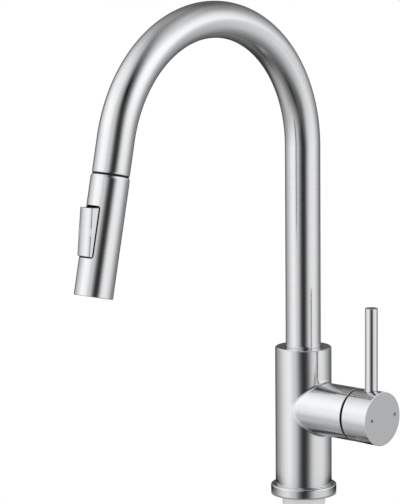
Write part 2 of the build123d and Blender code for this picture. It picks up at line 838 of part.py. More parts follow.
# Lever hub: its cavity and spherical relief let it tilt over the end of the housing
hub_start = housing_end + hub_gap
hub_cavity = hub_radius - hub_wall
relief_end = sphere_x(relief_radius, hub_cavity)
relief_rim = sqrt(relief_radius**2 - (hub_start - pivot_x) ** 2)
socket_radius = stem_radius + seat_gap
with BuildPart() as handle_hub:
    with BuildSketch(lever_section):
        with BuildLine():
            Polyline(
                (hub_start, relief_rim),
                (hub_start, hub_radius),
                (hub_end - hub_edge_length, hub_cap_radius),
                (hub_end, hub_cap_radius - hub_edge),
                (hub_end, 0),
                (stem_end + seat_gap, 0),
                (stem_end + seat_gap, socket_radius),
                (hub_floor, socket_radius),
                (hub_floor, hub_cavity),
                (relief_end, hub_cavity),
            )
            pivot_arc(relief_radius, hub_cavity, relief_rim)
        make_face()
    revolve(axis=lever_axis)
    with BuildSketch(Plane.XY.offset(valve_height - hub_radius + relief_flat_depth)):
        with Locations(((hub_start + relief_flat_end) / 2, 0)):
            Rectangle(relief_flat_end - hub_start, 2 * hub_cap_radius)
    extrude(amount=-2 * relief_flat_depth, mode=Mode.SUBTRACT)
    with BuildSketch(Plane.XZ):
        with Locations((hub_start, valve_height - scoop_drop)):
            Circle(scoop_radius)
    extrude(amount=hub_radius, both=True, mode=Mode.SUBTRACT)
    with BuildSketch(Plane.XY.offset(valve_height + hub_radius - spot_depth)):
        with Locations((rod_x, 0)):
            Circle(spot_radius)
    extrude(amount=2 * spot_depth, mode=Mode.SUBTRACT)
    with BuildSketch(Plane.XY.offset(valve_height + hub_radius)):
        with Locations((rod_x, 0)):
            Circle(rod_stud_radius + seat_gap)
    extrude(amount=-spot_depth - rod_stud_length - seat_gap, mode=Mode.SUBTRACT)
    with BuildSketch(Plane.XY.offset(valve_height - hub_cap_radius)):
        with Locations((grub_x, 0)):
            Circle(grub_radius + seat_gap)
    extrude(amount=hub_cap_radius, mode=Mode.SUBTRACT)
    with BuildSketch(across_lever(hub_end)):
        with Locations(*dot_places):
            Circle(dot_radius + seat_gap)
    extrude(amount=-dot_depth, mode=Mode.SUBTRACT)
save(handle_hub, "handle_hub")

with BuildPart() as handle_rod:
    with BuildSketch(Plane.XY.offset(valve_height + hub_radius - spot_depth)):
        with Locations((rod_x, 0)):
            Circle(rod_radius)
    extrude(amount=rod_top - valve_height - hub_radius + spot_depth)
    chamfer(handle_rod.edges().group_by(Axis.Z)[-1], length=rod_edge)
    with BuildSketch(Plane.XY.offset(valve_height + hub_radius - spot_depth)):
        with Locations((rod_x, 0)):
            Circle(rod_stud_radius)
    extrude(amount=-rod_stud_length)
save(handle_rod, "handle_rod")

grub_top = valve_height - stem_radius - 2 * seat_gap
with BuildPart() as grub_screw:
    with BuildSketch(Plane.XY.offset(grub_top - grub_length)):
        with Locations((grub_x, 0)):
            Circle(grub_radius)
    extrude(amount=grub_length)
    with BuildSketch(Plane.XY.offset(grub_top - grub_length)):
        with Locations((grub_x, 0)):
            RegularPolygon(grub_socket / 2, 6)
    extrude(amount=grub_socket, mode=Mode.SUBTRACT)
save(grub_screw, "grub_screw")

with BuildPart() as index_dots:
    with BuildSketch(across_lever(hub_end - dot_depth)):
        with Locations(*dot_places):
            Circle(dot_radius)
    extrude(amount=dot_depth)
save(index_dots, "index_dots")

# Spray head shell: turned tube with a tapered rim and the rocker's cut-out
joint_half = joint_gap / 2
cutout_length = head_length - cutout_start - cutout_below
cutout_middle = cutout_start + cutout_length / 2
rocker_middle = cutout_middle - rocker_rise
shell_bore = head_radius - head_wall
with BuildPart() as head_shell:
    with BuildSketch(head_section):
        Polygon(
            (neck_radius + 2 * seat_gap, joint_half),
            (head_rim_radius, joint_half),
            (head_radius, joint_half + head_rim_taper),
            (head_radius, head_length - head_end_edge),
            (head_radius - head_end_edge, head_length),
            (shell_bore, head_length),
            (shell_bore, joint_half + head_top_wall),
            (neck_radius + 2 * seat_gap, joint_half + head_top_wall),
            align=None,
        )
    revolve(axis=head_axis)
    with BuildSketch(Plane(origin=joint + down * cutout_middle, x_dir=sideways, z_dir=outward)):
        RectangleRounded(cutout_width, cutout_length, cutout_corner)
    extrude(amount=2 * head_radius, mode=Mode.SUBTRACT)
save(head_shell, "head_shell")

# Head core: plastic body with the rocker's pocket, the spool's bore and the water ways
core_end = head_length - core_recess
lower_chamber_start = core_end - lower_chamber_depth
spool_bore_end = rocker_middle + spool_bore_reach
pocket_half = rocker_width / 2 + pocket_side_room
pocket_start = cutout_start - pocket_end_room
pocket_end = cutout_start + cutout_length + pocket_end_room
core_radius = shell_bore - seat_gap
boss_room = rocker_boss_radius + rocker_room
prong_room = prong_reach * sin(radians(rocker_tilt)) + prong_thickness / 2 + rocker_room
inlet_cross = Plane(
    origin=joint + down * (bypass_start + bypass_radius),
    x_dir=sideways,
    z_dir=-outward,
)
with BuildPart() as head_core:
    with BuildSketch(head_section):
        Polygon(
            (inlet_bore, core_start),
            (core_radius, core_start),
            (core_radius, core_end),
            (lower_chamber_radius, core_end),
            (lower_chamber_radius, lower_chamber_start),
            (0, lower_chamber_start),
            (0, spool_bore_end),
            (spool_bore, spool_bore_end),
            (spool_bore, inlet_bore_end),
            (inlet_bore, inlet_bore_end),
            align=None,
        )
    revolve(axis=head_axis)
    with BuildSketch(across_head(bypass_start)):
        with Locations((-bypass_offset, 0)):
            Circle(bypass_radius)
    extrude(amount=lower_chamber_start - bypass_start, mode=Mode.SUBTRACT)
    with BuildSketch(inlet_cross):
        Circle(bypass_cross_radius)
    extrude(amount=bypass_offset, mode=Mode.SUBTRACT)
    with BuildSketch(head_section):
        with Locations(((pocket_floor + 2 * head_radius) / 2, (pocket_start + pocket_end) / 2)):
            Rectangle(2 * head_radius - pocket_floor, pocket_end - pocket_start)
    extrude(amount=pocket_half, both=True, mode=Mode.SUBTRACT)
    with BuildSketch(head_section):
        with Locations((rocker_pin_out, rocker_middle)):
            Rectangle(2 * boss_room, 2 * boss_room)
    extrude(amount=pocket_half, both=True, mode=Mode.SUBTRACT)
    with BuildSketch(head_section):
        with Locations((rocker_pin_out / 2, rocker_middle)):
            Rectangle(rocker_pin_out, 2 * prong_room)
    extrude(amount=prong_width / 2 + 2 * seat_gap, both=True, mode=Mode.SUBTRACT)
    with BuildSketch(head_section):
        with Locations((rocker_pin_out, rocker_middle)):
            Circle(rocker_pin_radius + pressed_gap)
    extrude(amount=head_radius, both=True, mode=Mode.SUBTRACT)
save(head_core, "head_core")

# Rocker button, drawn tilted with its upper end out: (out, along) from its pin
tilt = radians(rocker_tilt)
rocker_out = outward * cos(tilt) + down * sin(tilt)
rocker_pin_place = joint + down * rocker_middle + outward * rocker_pin_out
rocker_section = Plane(origin=rocker_pin_place, x_dir=rocker_out, z_dir=sideways)
front_out = rocker_front - rocker_pin_out
skirt_out = rocker_skirt - rocker_pin_out
hollow_out = front_out - rocker_crown - rocker_wall
rocker_length = cutout_length - rocker_end_room
half_length = rocker_length / 2
rocker_end_plane = Plane(
    origin=rocker_pin_place - rocker_section.y_dir * half_length,
    x_dir=sideways,
    z_dir=rocker_section.y_dir,
)
with BuildPart() as rocker_button:
    with BuildSketch(rocker_end_plane):
        with BuildLine():
            Polyline(
                (-rocker_width / 2, front_out - rocker_crown),
                (-rocker_width / 2, skirt_out),
                (rocker_width / 2, skirt_out),
                (rocker_width / 2, front_out - rocker_crown),
            )
            ThreePointArc(
                (rocker_width / 2, front_out - rocker_crown),
                (0, front_out),
                (-rocker_width / 2, front_out - rocker_crown),
            )
        make_face()
    extrude(amount=rocker_length)
    fillet(rocker_button.edges().filter_by(GeomType.CIRCLE), radius=rocker_corner)
    with BuildSketch(rocker_section):
        with Locations(((skirt_out + hollow_out) / 2, 0)):
            Rectangle(hollow_out - skirt_out, rocker_length - 2 * rocker_wall)
    extrude(amount=rocker_width / 2 - rocker_wall, both=True, mode=Mode.SUBTRACT)
    with BuildSketch(rocker_section):
        with Locations((front_out / 2, 0)):
            Rectangle(front_out - rocker_wall, 2 * rocker_boss_radius)
        Circle(rocker_boss_radius)
    extrude(amount=rocker_width / 2, both=True)
    with BuildSketch(rocker_section):
        with Locations((-prong_reach / 2, 0)):
            Rectangle(prong_reach, prong_thickness)
    extrude(amount=prong_width / 2, both=True)
    with BuildSketch(rocker_section):
        Circle(rocker_pin_radius + running_gap)
    extrude(amount=rocker_width, both=True, mode=Mode.SUBTRACT)
save(rocker_button, "rocker_button")

with BuildPart() as rocker_pin:
    with BuildSketch(rocker_section):
        Circle(rocker_pin_radius)
    extrude(amount=rocker_pin_length / 2, both=True)
save(rocker_pin, "rocker_pin")

# Diverter spool: the rocker's prong moves it along the head
spool_middle = rocker_middle - prong_reach * sin(tilt)
spool_top = spool_middle - spool_length / 2
spool_bottom = spool_middle + spool_length / 2
with BuildPart() as diverter_spool:
    with BuildSketch(head_section):
        Polygon(
            (0, spool_top),
            (spool_radius, spool_top),
            (spool_radius, spool_middle - spool_groove_width / 2),
            (spool_groove_radius, spool_middle - spool_groove_width / 2),
            (spool_groove_radius, spool_middle + spool_groove_width / 2),
            (spool_radius, spool_middle + spool_groove_width / 2),
            (spool_radius, spool_bottom),
            (0, spool_bottom),
            align=None,
        )
    revolve(axis=head_axis)
    for ring_place in (spool_top + spool_ring_inset, spool_bottom - spool_ring_inset):
        with BuildSketch(head_section):
            with Locations((spool_radius, ring_place)):
                Rectangle(4 * spool_ring_radius, 2 * spool_ring_radius + seat_gap)
        revolve(axis=head_axis, mode=Mode.SUBTRACT)
save(diverter_spool, "diverter_spool")

with BuildPart() as spool_o_rings:
    for ring_place in (spool_top + spool_ring_inset, spool_bottom - spool_ring_inset):
        with BuildSketch(head_section):
            with Locations((spool_radius - spool_ring_radius, ring_place)):
                Circle(spool_ring_radius)
        revolve(axis=head_axis)
save(spool_o_rings, "spool_o_rings")

# Inlet neck of the head and the check valve in it
neck_flange_start = joint_half + head_top_wall + seat_gap
neck_flange_end = core_start - seat_gap / 2
with BuildPart() as head_neck:
    with BuildSketch(head_section):
        Polygon(
            (neck_bore, neck_top),
            (neck_radius, neck_top),
            (neck_radius, neck_flange_start),
            (neck_flange_radius, neck_flange_start),
            (neck_flange_radius, neck_flange_end),
            (inlet_bore - seat_gap, neck_flange_end),
            (inlet_bore - seat_gap, neck_stub_end),
            (neck_stub_bore, neck_stub_end),
            (neck_stub_bore, valve_bore_end),
            (neck_bore, valve_bore_end),
            align=None,
        )
    revolve(axis=head_axis)
save(head_neck, "head_neck")

check_top = valve_bore_end - seat_gap / 2 - check_body_length
check_outer = neck_bore - seat_gap
seat_level = check_top + check_seat_depth
with BuildPart() as check_valve_body:
    with BuildSketch(head_section):
        Polygon(
            (check_seat_radius, check_top),
            (check_outer, check_top),
            (check_outer, check_top + check_body_length),
            (check_outlet_radius, check_top + check_body_length),
            (check_poppet_radius + check_poppet_room, seat_level + check_seat_height),
            (check_seat_radius, seat_level),
            align=None,
        )
    revolve(axis=head_axis)
save(check_valve_body, "check_valve_body")

with BuildPart() as check_valve_poppet:
    with BuildSketch(head_section):
        Polygon(
            (0, check_top + check_stem_inset),
            (check_stem_radius, check_top + check_stem_inset),
            (check_stem_radius, seat_level),
            (check_seat_radius - seat_gap, seat_level + check_seat_rise),
            (check_poppet_radius, seat_level + check_rim_start),
            (check_poppet_radius, seat_level + check_rim_end),
            (0, seat_level + check_tip_end),
            align=None,
        )
    revolve(axis=head_axis)
save(check_valve_poppet, "check_valve_poppet")

with BuildPart() as neck_washer:
    with BuildSketch(across_head(neck_top - neck_washer_height)):
        Circle(neck_radius - seat_gap)
        Circle(ferrule_bore, mode=Mode.SUBTRACT)
    extrude(amount=neck_washer_height)
save(neck_washer, "neck_washer")

# Hose end: ferrule on the hose and the tapered nut that docks in the spout
ferrule_end = neck_top - neck_washer_height
ferrule_top = -joint_back
ferrule_neck_end = ferrule_end - ferrule_flange_height
with BuildPart() as hose_ferrule:
    with BuildSketch(head_section):
        Polygon(
            (ferrule_bore, ferrule_top),
            (ferrule_radius - head_end_edge, ferrule_top),
            (ferrule_radius, ferrule_top + head_end_edge),
            (ferrule_radius, ferrule_neck_end),
            (ferrule_flange_radius, ferrule_neck_end),
            (ferrule_flange_radius, ferrule_end),
            (ferrule_bore, ferrule_end),
            align=None,
        )
    revolve(axis=head_axis)
save(hose_ferrule, "hose_ferrule")

with BuildPart() as hose_nut:
    with BuildSketch(head_section):
        Polygon(
            (neck_radius + seat_gap, hose_nut_end),
            (hose_nut_radius, hose_nut_end),
            (hose_nut_radius, hose_nut_shoulder),
            (hose_nut_tip_radius, hose_nut_top),
            (ferrule_radius + seat_gap, hose_nut_top),
            (ferrule_radius + seat_gap, ferrule_neck_end - seat_gap),
            (neck_radius + seat_gap, ferrule_neck_end - seat_gap),
            align=None,
        )
    revolve(axis=head_axis)
    with BuildSketch(across_head(hose_nut_shoulder)):
        with PolarLocations(hose_nut_radius + hose_nut_flute_radius / 2, hose_nut_flutes):
            Circle(hose_nut_flute_radius)
    extrude(amount=hose_nut_end - hose_nut_shoulder, mode=Mode.SUBTRACT)
save(hose_nut, "hose_nut")

# Dock collar in the spout's end: its flange shows as the dark line above the head
collar_face = joint_half - collar_face_gap
with BuildPart() as dock_collar:
    with BuildSketch(head_section):
        Polygon(
            (collar_bore + collar_lead, collar_face),
            (collar_flange_radius, collar_face),
            (collar_flange_radius, -joint_half),
            (spout_radius - spout_wall - seat_gap, -joint_half),
            (spout_radius - spout_wall - seat_gap, -joint_half - collar_length),
            (collar_bore, -joint_half - collar_length),
            (collar_bore, collar_face - collar_lead),
            align=None,
        )
    revolve(axis=head_axis)
save(dock_collar, "dock_collar")

# Outlet: nozzle mat, spray face, aerator and the ring that holds them
face_end = head_length - face_recess
face_start = face_end - face_thickness
face_ring_start = core_end + seat_gap
face_ring_end = face_ring_start + face_ring_height
with BuildPart() as face_ring:
    with BuildSketch(head_section):
        Polygon(
            (face_radius + seat_gap, face_ring_start),
            (face_ring_outer, face_ring_start),
            (face_ring_outer, face_ring_end - head_end_edge),
            (face_ring_outer - head_end_edge, face_ring_end),
            (face_radius + seat_gap, face_ring_end),
            align=None,
        )
    revolve(axis=head_axis)
save(face_ring, "face_ring")

with BuildPart() as spray_face:
    with BuildSketch(across_head(face_start)):
        Circle(face_radius)
        Circle(aerator_hole, mode=Mode.SUBTRACT)
        for nozzle_circle, nozzle_count in zip(nozzle_circles, nozzle_counts):
            with PolarLocations(nozzle_circle, nozzle_count):
                Circle(nozzle_radius + seat_gap, mode=Mode.SUBTRACT)
    extrude(amount=face_thickness)
save(spray_face, "spray_face")

with BuildPart() as nozzle_mat:
    with BuildSketch(across_head(face_start - mat_thickness)):
        Circle(face_radius)
        Circle(aerator_hole, mode=Mode.SUBTRACT)
    extrude(amount=mat_thickness)
    with BuildSketch(across_head(face_start)):
        for nozzle_circle, nozzle_count in zip(nozzle_circles, nozzle_counts):
            with PolarLocations(nozzle_circle, nozzle_count):
                Circle(nozzle_radius)
    extrude(amount=face_thickness + nozzle_stand_out)
    with BuildSketch(across_head(face_start - mat_thickness)):
        for nozzle_circle, nozzle_count in zip(nozzle_circles, nozzle_counts):
            with PolarLocations(nozzle_circle, nozzle_count):
                Circle(nozzle_bore)
    extrude(amount=mat_thickness + face_thickness + nozzle_stand_out, mode=Mode.SUBTRACT)
save(nozzle_mat, "nozzle_mat")

aerator_start = core_end + seat_gap
with BuildPart() as aerator:
    with BuildSketch(across_head(aerator_start)):
        Circle(aerator_radius)
        Circle(aerator_radius - aerator_screen, mode=Mode.SUBTRACT)
    extrude(amount=face_end + nozzle_stand_out / 2 - aerator_start)
    with BuildSketch(across_head(aerator_start)):
        Circle(aerator_radius)
    extrude(amount=aerator_screen)
    with BuildSketch(across_head(face_end - aerator_screen)):
        Circle(aerator_radius)
        with GridLocations(aerator_slot_pitch, 0, aerator_slots, 1):
            Rectangle(aerator_slot_width, 2 * aerator_radius, mode=Mode.SUBTRACT)
    extrude(amount=-aerator_screen)
    with BuildSketch(across_head(aerator_start)):
        with GridLocations(aerator_slot_pitch, aerator_slot_pitch, aerator_slots, aerator_slots):
            Circle(aerator_slot_width / 2)
    extrude(amount=aerator_screen, mode=Mode.SUBTRACT)
save(aerator, "aerator")
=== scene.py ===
from math import acos, cos, degrees, pi, radians, sin

import bpy
import numpy as np
from mathutils import Matrix, Vector


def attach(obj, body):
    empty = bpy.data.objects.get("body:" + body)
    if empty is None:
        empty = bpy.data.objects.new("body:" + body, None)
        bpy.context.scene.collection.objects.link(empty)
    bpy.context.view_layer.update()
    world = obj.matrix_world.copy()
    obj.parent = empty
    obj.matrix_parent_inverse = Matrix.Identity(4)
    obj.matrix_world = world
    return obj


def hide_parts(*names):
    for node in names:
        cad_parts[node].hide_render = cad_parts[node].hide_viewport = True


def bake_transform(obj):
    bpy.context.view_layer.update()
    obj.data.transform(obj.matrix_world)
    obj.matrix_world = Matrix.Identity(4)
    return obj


# Pull-out kitchen faucet in brushed stainless steel. Metres; the deck is at height 0, the
# spout reaches towards -Y and the lever's axis runs along +X.

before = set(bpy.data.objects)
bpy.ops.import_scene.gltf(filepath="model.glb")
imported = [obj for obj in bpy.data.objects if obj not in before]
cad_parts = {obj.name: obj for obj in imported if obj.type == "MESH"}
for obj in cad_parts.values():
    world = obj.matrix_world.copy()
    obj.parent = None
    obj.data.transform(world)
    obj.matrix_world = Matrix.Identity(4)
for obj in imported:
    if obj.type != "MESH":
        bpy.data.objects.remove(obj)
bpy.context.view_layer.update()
scene = bpy.context.scene
scene.view_settings.view_transform = "Standard"

# Camera
camera_azimuth = radians(41.257)
camera_distance = 2.016906
camera_height = 0.493715
camera_yaw = camera_azimuth + radians(2.322)
camera_pitch = radians(-8.399)
camera_roll = radians(-0.531)
focal_pixels = 2566.4
picture_height = 504
sensor_size = 36.0

# Spout
spout_radius = 0.014
spout_wall = 0.0015
spout_foot = 0.100
leg_top = 0.280
arc_radius = 0.1045
arc_sweep = radians(167.5)
spout_tail = 0.02635
spout_edge = 0.0004
spout_columns = 96
tube_step = 0.002

# Pull-out hose
hose_radius = 0.0065
hose_bore = 0.0042
hose_edge = 0.0003
hose_offset = 0.0074
hose_bend = 0.045
hose_split = 0.118
hose_gap = 0.0003
hose_bottom = -0.076
hose_columns = 64
bend_step = 0.001
reach_length = 0.024
reach_edge = 0.0001
reach_rows = 400
reach_columns = 48
strands = 16
strand_lay = 0.030
threads_per_strand = 7

# Threaded shank. The groove's half width is a share of the pitch.
shank_radius = 0.0165
shank_bore = 0.0142
shank_bottom = -0.062
shank_neck = -0.016
shank_flange_start = 0.003
shank_flange_end = 0.011
shank_flange_radius = 0.0199
shank_columns = 96
thread_pitch = 0.002
thread_depth = 0.0008
thread_run_out = 0.003
groove_half_width = 0.36
rows_per_thread = 14
step_height = 1e-5

# Body and lever
lever_height = 0.0715
body_radius = 0.0225
housing_radius = 0.021
housing_end = 0.056
hub_start = 0.0578
hub_end = 0.0817
hub_inside = 0.0198
rod_place = 0.0705

# Places on the body and the lever between which a finish or a painted shade fades in
lever_side_fade = (0, 0.004)
body_outside_fade = (-0.0005, -0.0002)
housing_end_fade = (housing_end - 0.00015, housing_end - 0.00003)
hub_back_fade = (hub_start + 0.00005, hub_start + 0.00015)
hub_cap_fade = (hub_end - 0.0003, hub_end - 0.0001)
hub_inside_fade = (hub_inside - 0.0003, hub_inside)

# Polished corner between the body and its housing: how far from their meeting line it
# reaches, and how far out to either side of the lever it fades in
seam_softness = 0.0018
seam_side_fade = (0.012, 0.017)

# Spray head. Places along it are distances down from the joint.
head_down = Vector((0, -sin(arc_sweep), cos(arc_sweep)))
head_front = Vector((0, cos(arc_sweep), sin(arc_sweep)))
arc_end = Vector((0, -arc_radius * (1 - cos(arc_sweep)), leg_top + arc_radius * sin(arc_sweep)))
joint_gap = 0.0015
head_joint = arc_end + head_down * (spout_tail + joint_gap / 2)
cutout_middle = 0.04315
cutout_half_length = 0.01935
cutout_half_width = 0.007
cutout_corner = 0.002
button_half_width = 0.00645

# Places on the head between which a painted shade or a lean fades in
cutout_fade = (cutout_corner + 0.00003, cutout_corner + 0.00008)
shell_front_fade = (0, 0.001)
shell_inside_fade = (0.0134, 0.0137)
shell_mouth_fade = (0.07315, 0.07815)
button_outside_fade = (0.01495, 0.01525)
button_crown_fade = (0.001, button_half_width)
button_edge_fade = (button_half_width - 0.0007, button_half_width)
button_crown_lean = 0.28
button_edge_lean = 0.65

# Brushed steel: how light and how rough it is, and how far its scratches tip the surface
steel_shade = 0.70
steel_rough = 0.13
scratch_tilt = 0.20
hub_shade = 0.68
# The hub's cap is painted darker, a painted shade; its higher roughness is its duller finish
cap_painted_shade = 0.545
cap_rough = 0.29
# The button's flanks are painted lighter than its front: a painted highlight
flank_painted_light = 0.78
flank_fade = (0.8, 0.95)

# Turned metal
brass_colour = (0.72, 0.58, 0.34)
dull_colour = (0.55, 0.55, 0.55)
thread_rough = 0.28
turned_rough = 0.30

# New pieces shade sharply where faces meet at more than this
sharp_angle = radians(35)

# Studio, as the metal reflects it: two soft walls of light either side of a dark strip
# beside the camera. Angles in degrees, round from the camera's side and up.
left_light = 1.41
left_round = [
    (-180, 0.05),
    (-155, 0.05),
    (-130, 0.33),
    (-105, 0.64),
    (-80, 0.97),
    (-58, 1.0),
    (-41, 0.74),
    (-27, 0.55),
    (-13, 0.20),
    (1, 0.0),
]
left_up = [
    (-90, 0.0),
    (-65, 0.24),
    (-40, 0.42),
    (-20, 0.62),
    (0, 0.87),
    (20, 1.0),
    (40, 0.85),
    (60, 0.59),
    (90, 0.0),
]
right_light = 1.34
right_round = [
    (8, 0.0),
    (22, 0.11),
    (36, 0.56),
    (50, 0.90),
    (66, 1.0),
    (84, 1.0),
    (104, 0.70),
    (126, 0.35),
    (150, 0.14),
    (180, 0.05),
]
right_up = [
    (-90, 0.0),
    (-65, 0.02),
    (-40, 0.30),
    (-20, 0.58),
    (0, 0.87),
    (20, 1.0),
    (40, 0.69),
    (60, 0.32),
    (90, 0.04),
]
# Soft round lights, or shades where the level is below 0: angle round, angle up, half
# width and level.
round_lights = [
    (-135, 50, 45, 0.22),
    (60, 84, 50, 0.24),
    (110, -62, 60, 0.16),
    (-120, 30, 45, 0.31),
    (-45, -15, 30, 0.13),
    (-45, 15, 30, -0.18),
    (105, 30, 30, -0.18),
    (-105, -45, 30, 0.20),
    (30, -30, 30, 0.11),
    (-105, -15, 30, -0.07),
    (45, 30, 30, 0.09),
    (-15, 45, 30, -0.09),
    (-30, -45, 30, -0.11),
]
dark_level = 0.04
plain_level = 0.75

# The dark strip stands this far round to the right, and a step further left in a belt of
# heights
strip_round = 8
strip_step = 11.5
belt_fade_in = (-30, -14)
belt_fade_out = (-6, 6)

# Lamp and floor
sun_level = 0.9
sun_softness = radians(20)
sun_lean = (radians(22), radians(-18), 0)
floor_height = -0.45
floor_half_size = 40
floor_shade = 0.8
floor_glow = 0.2

# Painted shade in reflections only: a sheet that darkens what the steel near the deck mirrors,
# and whose plain glowing disc is a painted reflection in place of a deck over the shank
# Sheet in the deck's plane for reflections: the shares of light that it lets through on
# the camera's side and behind, the cosines of the angle round between which the first
# takes over, the radii between which the sheet fades out, and the disc that hides the
# shank
ground_height = -0.0005
ground_half_size = 0.1
ground_ahead = 0.9
ground_behind = 0.1
ground_turn_fade = (-0.7, 0.6)
ground_edge_fade = (0.055, ground_half_size)
disc_fade = (0.0305, 0.0325)
disc_glow = 0.3


def make_camera():
    """Camera at the place that the photograph's outlines give."""
    position = Vector((
        camera_distance * sin(camera_azimuth),
        -camera_distance * cos(camera_azimuth),
        camera_height,
    ))
    forward = Vector((
        -sin(camera_yaw) * cos(camera_pitch),
        cos(camera_yaw) * cos(camera_pitch),
        sin(camera_pitch),
    ))
    level = Vector((cos(camera_yaw), sin(camera_yaw), 0))
    square = level.cross(forward)
    right = level * cos(camera_roll) + square * sin(camera_roll)
    up = square * cos(camera_roll) - level * sin(camera_roll)
    data = bpy.data.cameras.new("camera")
    data.lens = focal_pixels * sensor_size / picture_height
    data.sensor_width = sensor_size
    data.clip_start = 0.05
    data.clip_end = 200
    camera = bpy.data.objects.new("camera", data)
    turn = Matrix((right, up, -forward)).transposed().to_4x4()
    camera.matrix_world = Matrix.Translation(position) @ turn
    scene.collection.objects.link(camera)
    scene.camera = camera


class Value:
    """An output socket. Arithmetic on it adds Math nodes."""

    def __init__(self, shading, socket):
        self.shading = shading
        self.socket = socket

    def math(self, operation, *others):
        """One Math node on this value and the others."""
        sockets = dict(enumerate((self, *others)))
        return self.shading.node("ShaderNodeMath", {"operation": operation}, sockets)

    def vector(self, operation, *others, output=0):
        """One Vector Math node on this vector and the others."""
        sockets = dict(enumerate((self, *others)))
        settings = {"operation": operation}
        return self.shading.node("ShaderNodeVectorMath", settings, sockets, output)

    def __add__(self, other):
        return self.math("ADD", other)

    def __sub__(self, other):
        return self.math("SUBTRACT", other)

    def __rsub__(self, other):
        settings = {"operation": "SUBTRACT"}
        return self.shading.node("ShaderNodeMath", settings, {0: other, 1: self})

    def __mul__(self, other):
        return self.math("MULTIPLY", other)

    __radd__ = __add__
    __rmul__ = __mul__

    def dot(self, direction):
        """How far this vector reaches in a direction."""
        return self.vector("DOT_PRODUCT", direction, output="Value")

    def scaled(self, factor):
        """This vector times a number or a value."""
        settings = {"operation": "SCALE"}
        return self.shading.node("ShaderNodeVectorMath", settings, {0: self, "Scale": factor})

    def rise(self, low, high):
        """0 below low, 1 above high and smooth between them."""
        sockets = {"Value": self, "From Min": low, "From Max": high}
        settings = {"interpolation_type": "SMOOTHSTEP"}
        return self.shading.node("ShaderNodeMapRange", settings, sockets)


class Shading:
    """The node tree of a material or of the world."""

    def __init__(self, owner):
        owner.use_nodes = True
        self.tree = owner.node_tree
        self.tree.nodes.clear()

    def node(self, kind, settings=None, sockets=None, output=0):
        """Adds a node, sets it up, fills or links its inputs and returns one of its outputs."""
        made = self.tree.nodes.new(kind)
        for name, setting in (settings or {}).items():
            if name == "stops":
                elements = made.color_ramp.elements
                while len(elements) < len(setting):
                    elements.new(1.0)
                for element, (place, level) in zip(elements, setting):
                    element.position = place
                    element.color = (level, level, level, 1)
            elif name == "between_stops":
                made.color_ramp.interpolation = setting
            else:
                setattr(made, name, setting)
        for name, value in (sockets or {}).items():
            if isinstance(value, Value):
                self.tree.links.new(value.socket, made.inputs[name])
            else:
                made.inputs[name].default_value = value
        if len(made.outputs) == 0:
            return None
        return Value(self, made.outputs[output])

    def position(self):
        """Where the point is, in metres."""
        return self.node("ShaderNodeTexCoord", output="Object")

    def own_normal(self):
        """The surface's normal, before any bump."""
        return self.node("ShaderNodeNewGeometry", output="Normal")

    def parts(self, vector):
        """The three parts of a vector."""
        first = self.node("ShaderNodeSeparateXYZ", None, {0: vector})
        others = first.socket.node.outputs
        return first, Value(self, others[1]), Value(self, others[2])

    def combine(self, x, y, z):
        """A vector of three parts."""
        return self.node("ShaderNodeCombineXYZ", None, {0: x, 1: y, 2: z})

    def noise(self, vector, scale, detail=2.0, roughness=0.5):
        """Soft noise about 0.5, with scale grains to each unit of the vector."""
        sockets = {"Vector": vector, "Scale": scale, "Detail": detail, "Roughness": roughness}
        return self.node("ShaderNodeTexNoise", None, sockets)

    def colours(self, share, first, second):
        """Colour between first and second."""
        settings = {"data_type": "RGBA"}
        return self.node("ShaderNodeMix", settings, {0: share, 6: first, 7: second}, 2)

    def surface(self, **sockets):
        """The material's shader. Its sockets are named with _ for a space."""
        named = {name.replace("_", " "): value for name, value in sockets.items()}
        shader = self.node("ShaderNodeBsdfPrincipled", None, named)
        self.node("ShaderNodeOutputMaterial", None, {0: shader})

    def upper_side(self, shader):
        """A sheet's shader on its upper side. Its underside is clear."""
        clear = self.node("ShaderNodeBsdfTransparent")
        under = self.node("ShaderNodeNewGeometry", output="Backfacing")
        both = self.node("ShaderNodeMixShader", None, {0: under, 1: shader, 2: clear})
        self.node("ShaderNodeOutputMaterial", None, {0: both})


def grey(level):
    """A grey colour."""
    return (level, level, level, 1)


